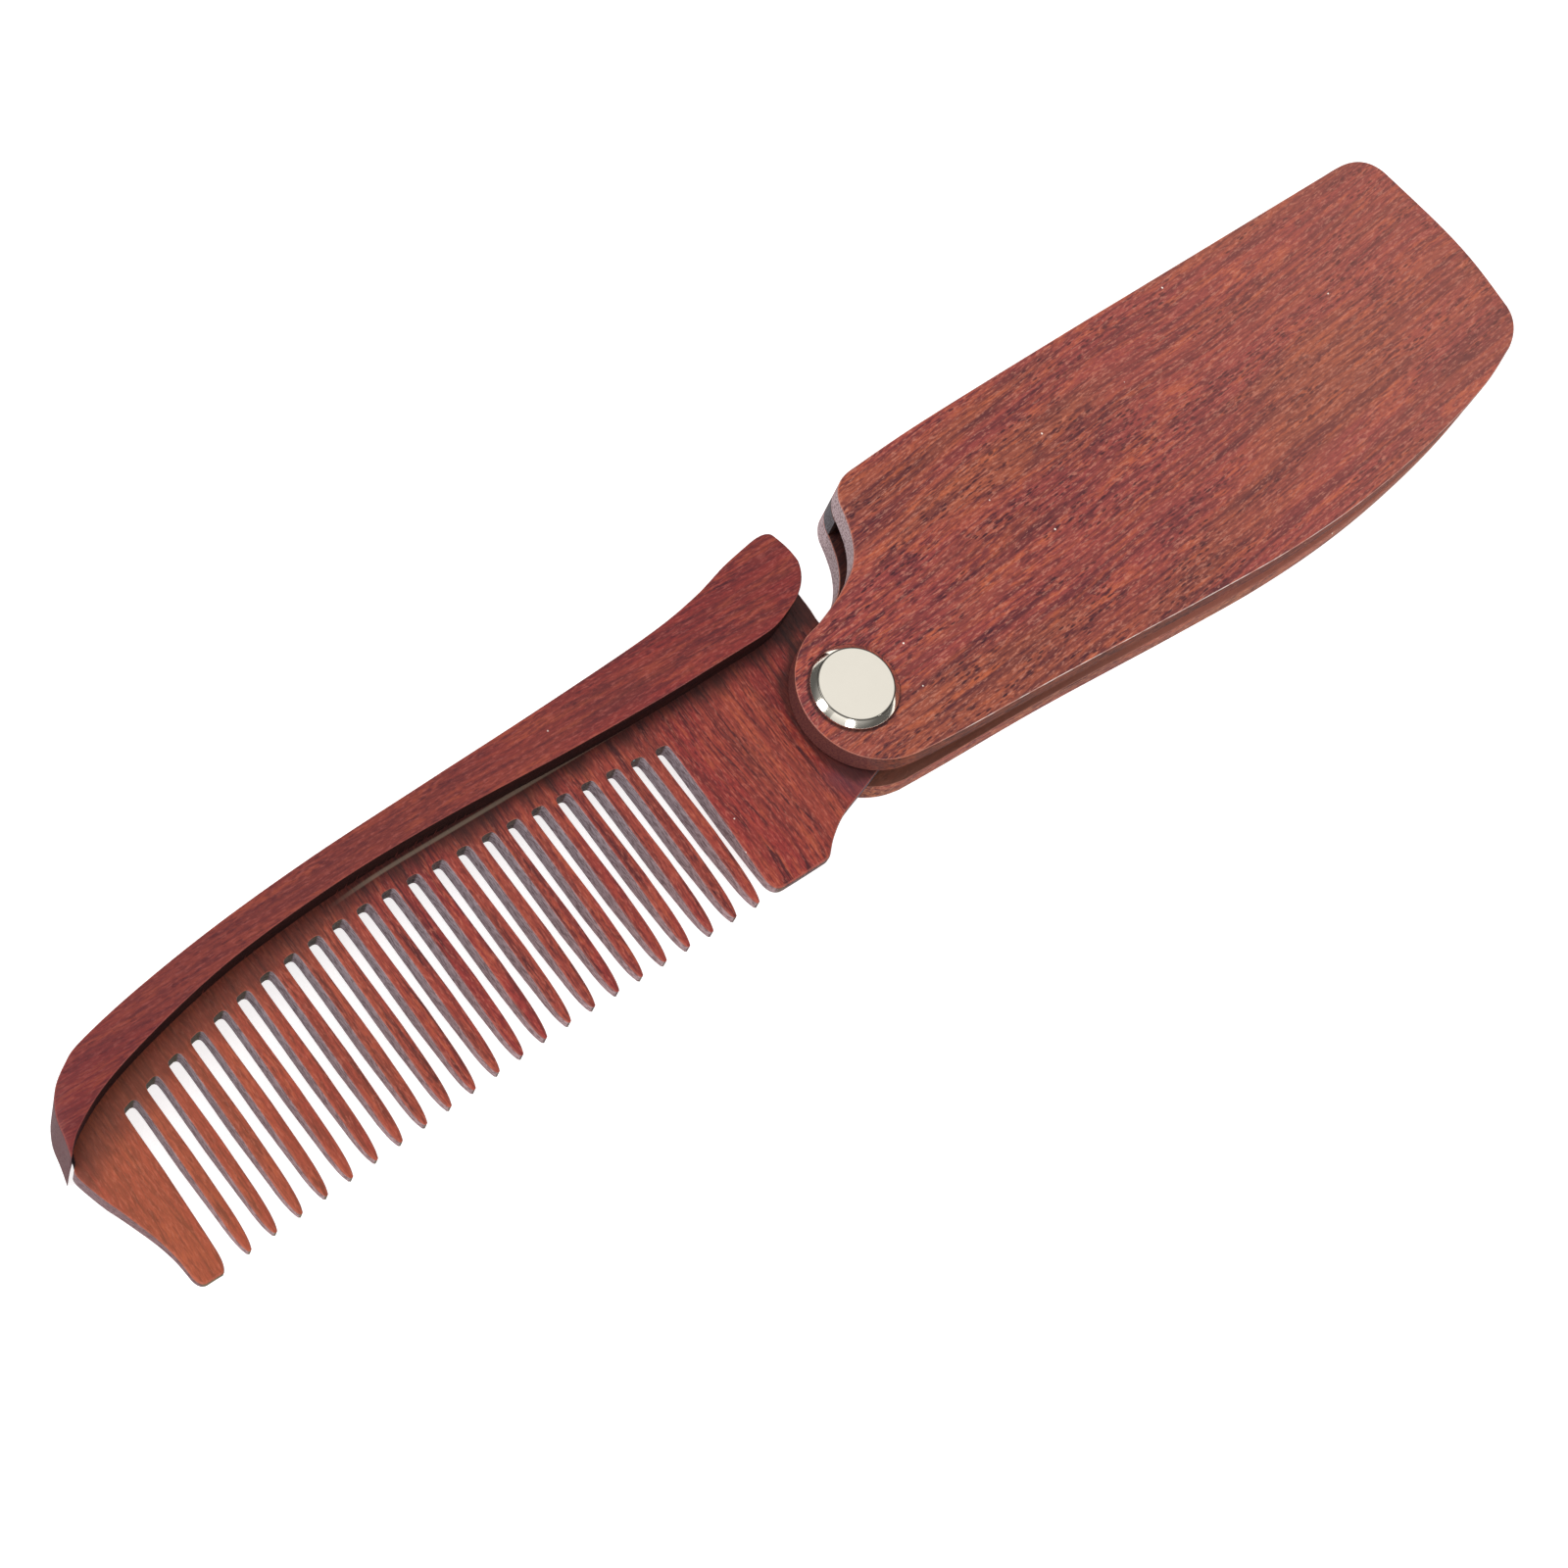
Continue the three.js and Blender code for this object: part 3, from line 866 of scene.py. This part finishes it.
def spine_piece():
    """The spine, with a groove that has the board's own outline and a thin glue gap round it."""
    low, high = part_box("spine")
    obj = rounded_plate(
        "spine_wood", outline_of("spine", 1)[:1], level(low.z), level(high.z), level(EDGE),
        crowns=(SPINE_CROWN, SPINE_CROWN),
    )
    rim = outline_of("tooth_board", 1, flat=False)[0]
    grown = [point - move * 2 * GLUE for point, move in zip(rim, inward(rim, hole=False))]
    board_low, board_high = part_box("tooth_board")
    groove = rounded_plate(
        "groove", [grown], level(board_low.z - GLUE), level(board_high.z + GLUE), level(LEAST)
    )
    cut(obj, groove)
    return finished(obj, COMB, SPINE_WOOD, "rosewood", "spine")


TAPER_TOP = PIVOT.y - 4.5 * MM  # where the board starts to thin
TIP_HALF = 0.55 * MM  # half the board's thickness at its tips
ROOT_EDGE, TIP_EDGE = 0.12 * MM, 0.37 * MM  # rounding of the board's edges


def board_piece():
    """The board, whose teeth grow thinner and rounder towards their tips."""
    low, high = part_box("tooth_board")
    middle = (low.z + high.z) / 2
    full = (high.z - low.z) / 2

    def towards_tips(y):
        return min(1.0, max(0.0, (TAPER_TOP - y) / (TAPER_TOP - low.y)))

    def half_thickness(y):
        return full + (TIP_HALF - full) * towards_tips(y)

    obj = rounded_plate(
        "tooth_board_wood",
        outline_of("tooth_board", 1, flat=False),
        lambda x, y: middle - half_thickness(y),
        lambda x, y: middle + half_thickness(y),
        lambda x, y: ROOT_EDGE + (TIP_EDGE - ROOT_EDGE) * towards_tips(y),
    )
    return finished(obj, COMB, BOARD_WOOD, "board_wood", "tooth_board")


# ---- The pivot ----
ROUND_SEGMENTS = 96
POST_RADIUS, POST_BORE, WASHER_BORE = 2.2 * MM, 1.5 * MM, 2.25 * MM
POST_ROOF = 2 * MM  # from the front face down to the end of the post's bore
CAP_HEIGHT, CAP_BEVEL, CAP_EDGE = 1.1 * MM, 0.7 * MM, 0.06 * MM
SCREW_SHANK, SCREW_HEAD, SCREW_EDGE = 1.4 * MM, 1.2 * MM, 0.15 * MM
SCREW_SLOT_WIDTH, SCREW_SLOT_DEPTH = 1.1 * MM, 0.6 * MM  # of the slot in the screw's head
WASHER_EDGE = 0.03 * MM


def lathed(name, profile):
    """A round piece about the pivot axis, from its (radius, height) profile, bottom first."""
    bm = bmesh.new()
    rings = []
    for radius, z in profile:
        if radius == 0:
            rings.append([bm.verts.new((PIVOT.x, PIVOT.y, z))])
            continue
        turns = [2 * math.pi * k / ROUND_SEGMENTS for k in range(ROUND_SEGMENTS)]
        rings.append([
            bm.verts.new((PIVOT.x + radius * math.cos(t), PIVOT.y + radius * math.sin(t), z))
            for t in turns
        ])
    for below, above in zip(rings, rings[1:]):
        for k in range(ROUND_SEGMENTS):
            j = (k + 1) % ROUND_SEGMENTS
            corners = [below[k % len(below)], below[j % len(below)],
                       above[j % len(above)], above[k % len(above)]]
            bm.faces.new(list(dict.fromkeys(corners)))
    bmesh.ops.recalc_face_normals(bm, faces=bm.faces)
    return made_object(name, bm)


def softened(profile, radius):
    """The profile with every corner between its two ends replaced by a short arc."""
    result = [profile[0]]
    for before, here, after in zip(profile, profile[1:], profile[2:]):
        here = Vector(here)
        back, ahead = Vector(before) - here, Vector(after) - here
        reach = min(radius, back.length / 2, ahead.length / 2)
        start, end = here + back.normalized() * reach, here + ahead.normalized() * reach
        for k in range(ROUND_STEPS + 1):
            t = k / ROUND_STEPS
            result.append(tuple(start.lerp(here, t).lerp(here.lerp(end, t), t)))
    return result + [profile[-1]]


def cap_piece():
    """The hollow post with its bevelled cap, standing proud of the front scale."""
    low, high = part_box("pivot_post")
    cap_radius = (high.x - low.x) / 2
    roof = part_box("front_scale")[1].z - POST_ROOF
    seat = high.z - CAP_HEIGHT
    profile = [(0, roof), (POST_BORE, roof), (POST_BORE, low.z), (POST_RADIUS, low.z),
               (POST_RADIUS, seat), (cap_radius, seat), (cap_radius, high.z - CAP_BEVEL),
               (cap_radius - CAP_BEVEL, high.z), (0, high.z)]
    obj = lathed("pivot_cap", softened(profile, CAP_EDGE))
    return finished(obj, HANDLE, NICKEL, "nickel", "pivot_post")


def screw_piece():
    """The screw from behind, whose slot is cut right across its head."""
    low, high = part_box("pivot_screw")
    head = (high.x - low.x) / 2
    profile = [(0, low.z), (head, low.z), (head, SCREW_HEAD), (SCREW_SHANK, SCREW_HEAD),
               (SCREW_SHANK, high.z), (0, high.z)]
    obj = lathed("pivot_screw_head", softened(profile, SCREW_EDGE))
    slot = [Vector((PIVOT.x + sx * 1.5 * head, PIVOT.y + sy * SCREW_SLOT_WIDTH / 2))
            for sx, sy in ((-1, -1), (1, -1), (1, 1), (-1, 1))]
    cutter = rounded_plate("slot", [slot], level(-1 * MM), level(SCREW_SLOT_DEPTH), level(LEAST))
    cut(obj, cutter)
    return finished(obj, HANDLE, NICKEL, "nickel", "pivot_screw")


def washer_piece(node):
    low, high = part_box(node)
    outer, inner = (high.x - low.x) / 2, WASHER_BORE
    profile = [(inner, low.z), (outer, low.z), (outer, high.z), (inner, high.z), (inner, low.z)]
    obj = lathed(node + "_ring", softened(profile, WASHER_EDGE))
    return finished(obj, HANDLE, BRASS, "brass", node)


# ---- Floor and light ----
FLOOR_RADIUS = 3.0
FLOOR_DROP = 0.02 * MM  # keeps the floor just clear of the handle's back face
FLOOR_BLOTCHES = (40, 40, 40)  # in millimetres
FLOOR_DARK, FLOOR_PALE = 0.5, 0.54
FLOOR_ROUGHNESS, FLOOR_GLOW = 0.6, 0.8
SKY_DARK_BELOW, SKY_WHITE_ABOVE = 0.25, 0.7  # the Z of a direction of length one
SKY_DIM, SKY_BRIGHT = 0.12, 0.93


def add_floor():
    bm = bmesh.new()
    bmesh.ops.create_circle(bm, cap_ends=True, segments=ROUND_SEGMENTS, radius=FLOOR_RADIUS)
    floor = made_object("floor", bm)
    shader = Shader("pale_floor")
    blotches = shader.noise(shader.place(), FLOOR_BLOTCHES)
    tone = shader.mix(blotches, grey(FLOOR_DARK), grey(FLOOR_PALE))
    floor.data.materials.append(shader.surface(
        tone, FLOOR_ROUGHNESS, Emission_Color=grey(1), Emission_Strength=FLOOR_GLOW
    ))
    floor.location.z = -FLOOR_DROP


def add_area(name, direction, distance, size, power):
    """A round softbox that faces the comb from the given direction."""
    data = bpy.data.lights.new(name, "AREA")
    data.shape = "DISK"
    data.size = size
    data.energy = power
    light = bpy.data.objects.new(name, data)
    bpy.context.scene.collection.objects.link(light)
    light.location = Vector(direction).normalized() * distance
    light.rotation_mode = "QUATERNION"
    light.rotation_quaternion = Vector(direction).to_track_quat("Z", "Y")


def add_sky():
    """A white tent overhead that darkens towards the horizon."""
    world = bpy.data.worlds.new("studio")
    bpy.context.scene.world = world
    world.use_nodes = True
    nodes, links = world.node_tree.nodes, world.node_tree.links
    place = nodes.new("ShaderNodeTexCoord")
    parts = nodes.new("ShaderNodeSeparateXYZ")
    rise = nodes.new("ShaderNodeMapRange")
    rise.interpolation_type = "SMOOTHSTEP"
    rise.inputs["From Min"].default_value = SKY_DARK_BELOW
    rise.inputs["From Max"].default_value = SKY_WHITE_ABOVE
    rise.inputs["To Min"].default_value = SKY_DIM
    rise.inputs["To Max"].default_value = SKY_BRIGHT
    links.new(place.outputs["Generated"], parts.inputs[0])
    links.new(parts.outputs["Z"], rise.inputs["Value"])
    links.new(rise.outputs["Result"], nodes["Background"].inputs["Strength"])
    nodes["Background"].inputs["Color"].default_value = grey(1)


def add_light():
    add_sky()
    add_area("key", (-0.35, 0.3, 0.85), distance=0.9, size=0.5, power=3.2)
    add_area("left_box", (-0.85, 0.2, 0.4), distance=0.8, size=0.26, power=1.6)
    add_area("low_box", (-0.5, -0.73, 0.42), distance=0.8, size=0.2, power=0.8)
    add_area("low_fill", (-0.66, -0.5, 0.4), distance=0.95, size=0.7, power=0.5)
    add_area("rim", (0.43, -0.66, 0.61), distance=0.8, size=0.1, power=0.6)
    bpy.context.scene.view_settings.view_transform = "Standard"


add_camera()
handle_scale("front_scale", 1, FRONT_WOOD)
handle_scale("back_scale", -1, BACK_WOOD)
spacer_piece()
spine_piece()
board_piece()
cap_piece()
screw_piece()
washer_piece("front_washer")
washer_piece("back_washer")
add_floor()
add_light()
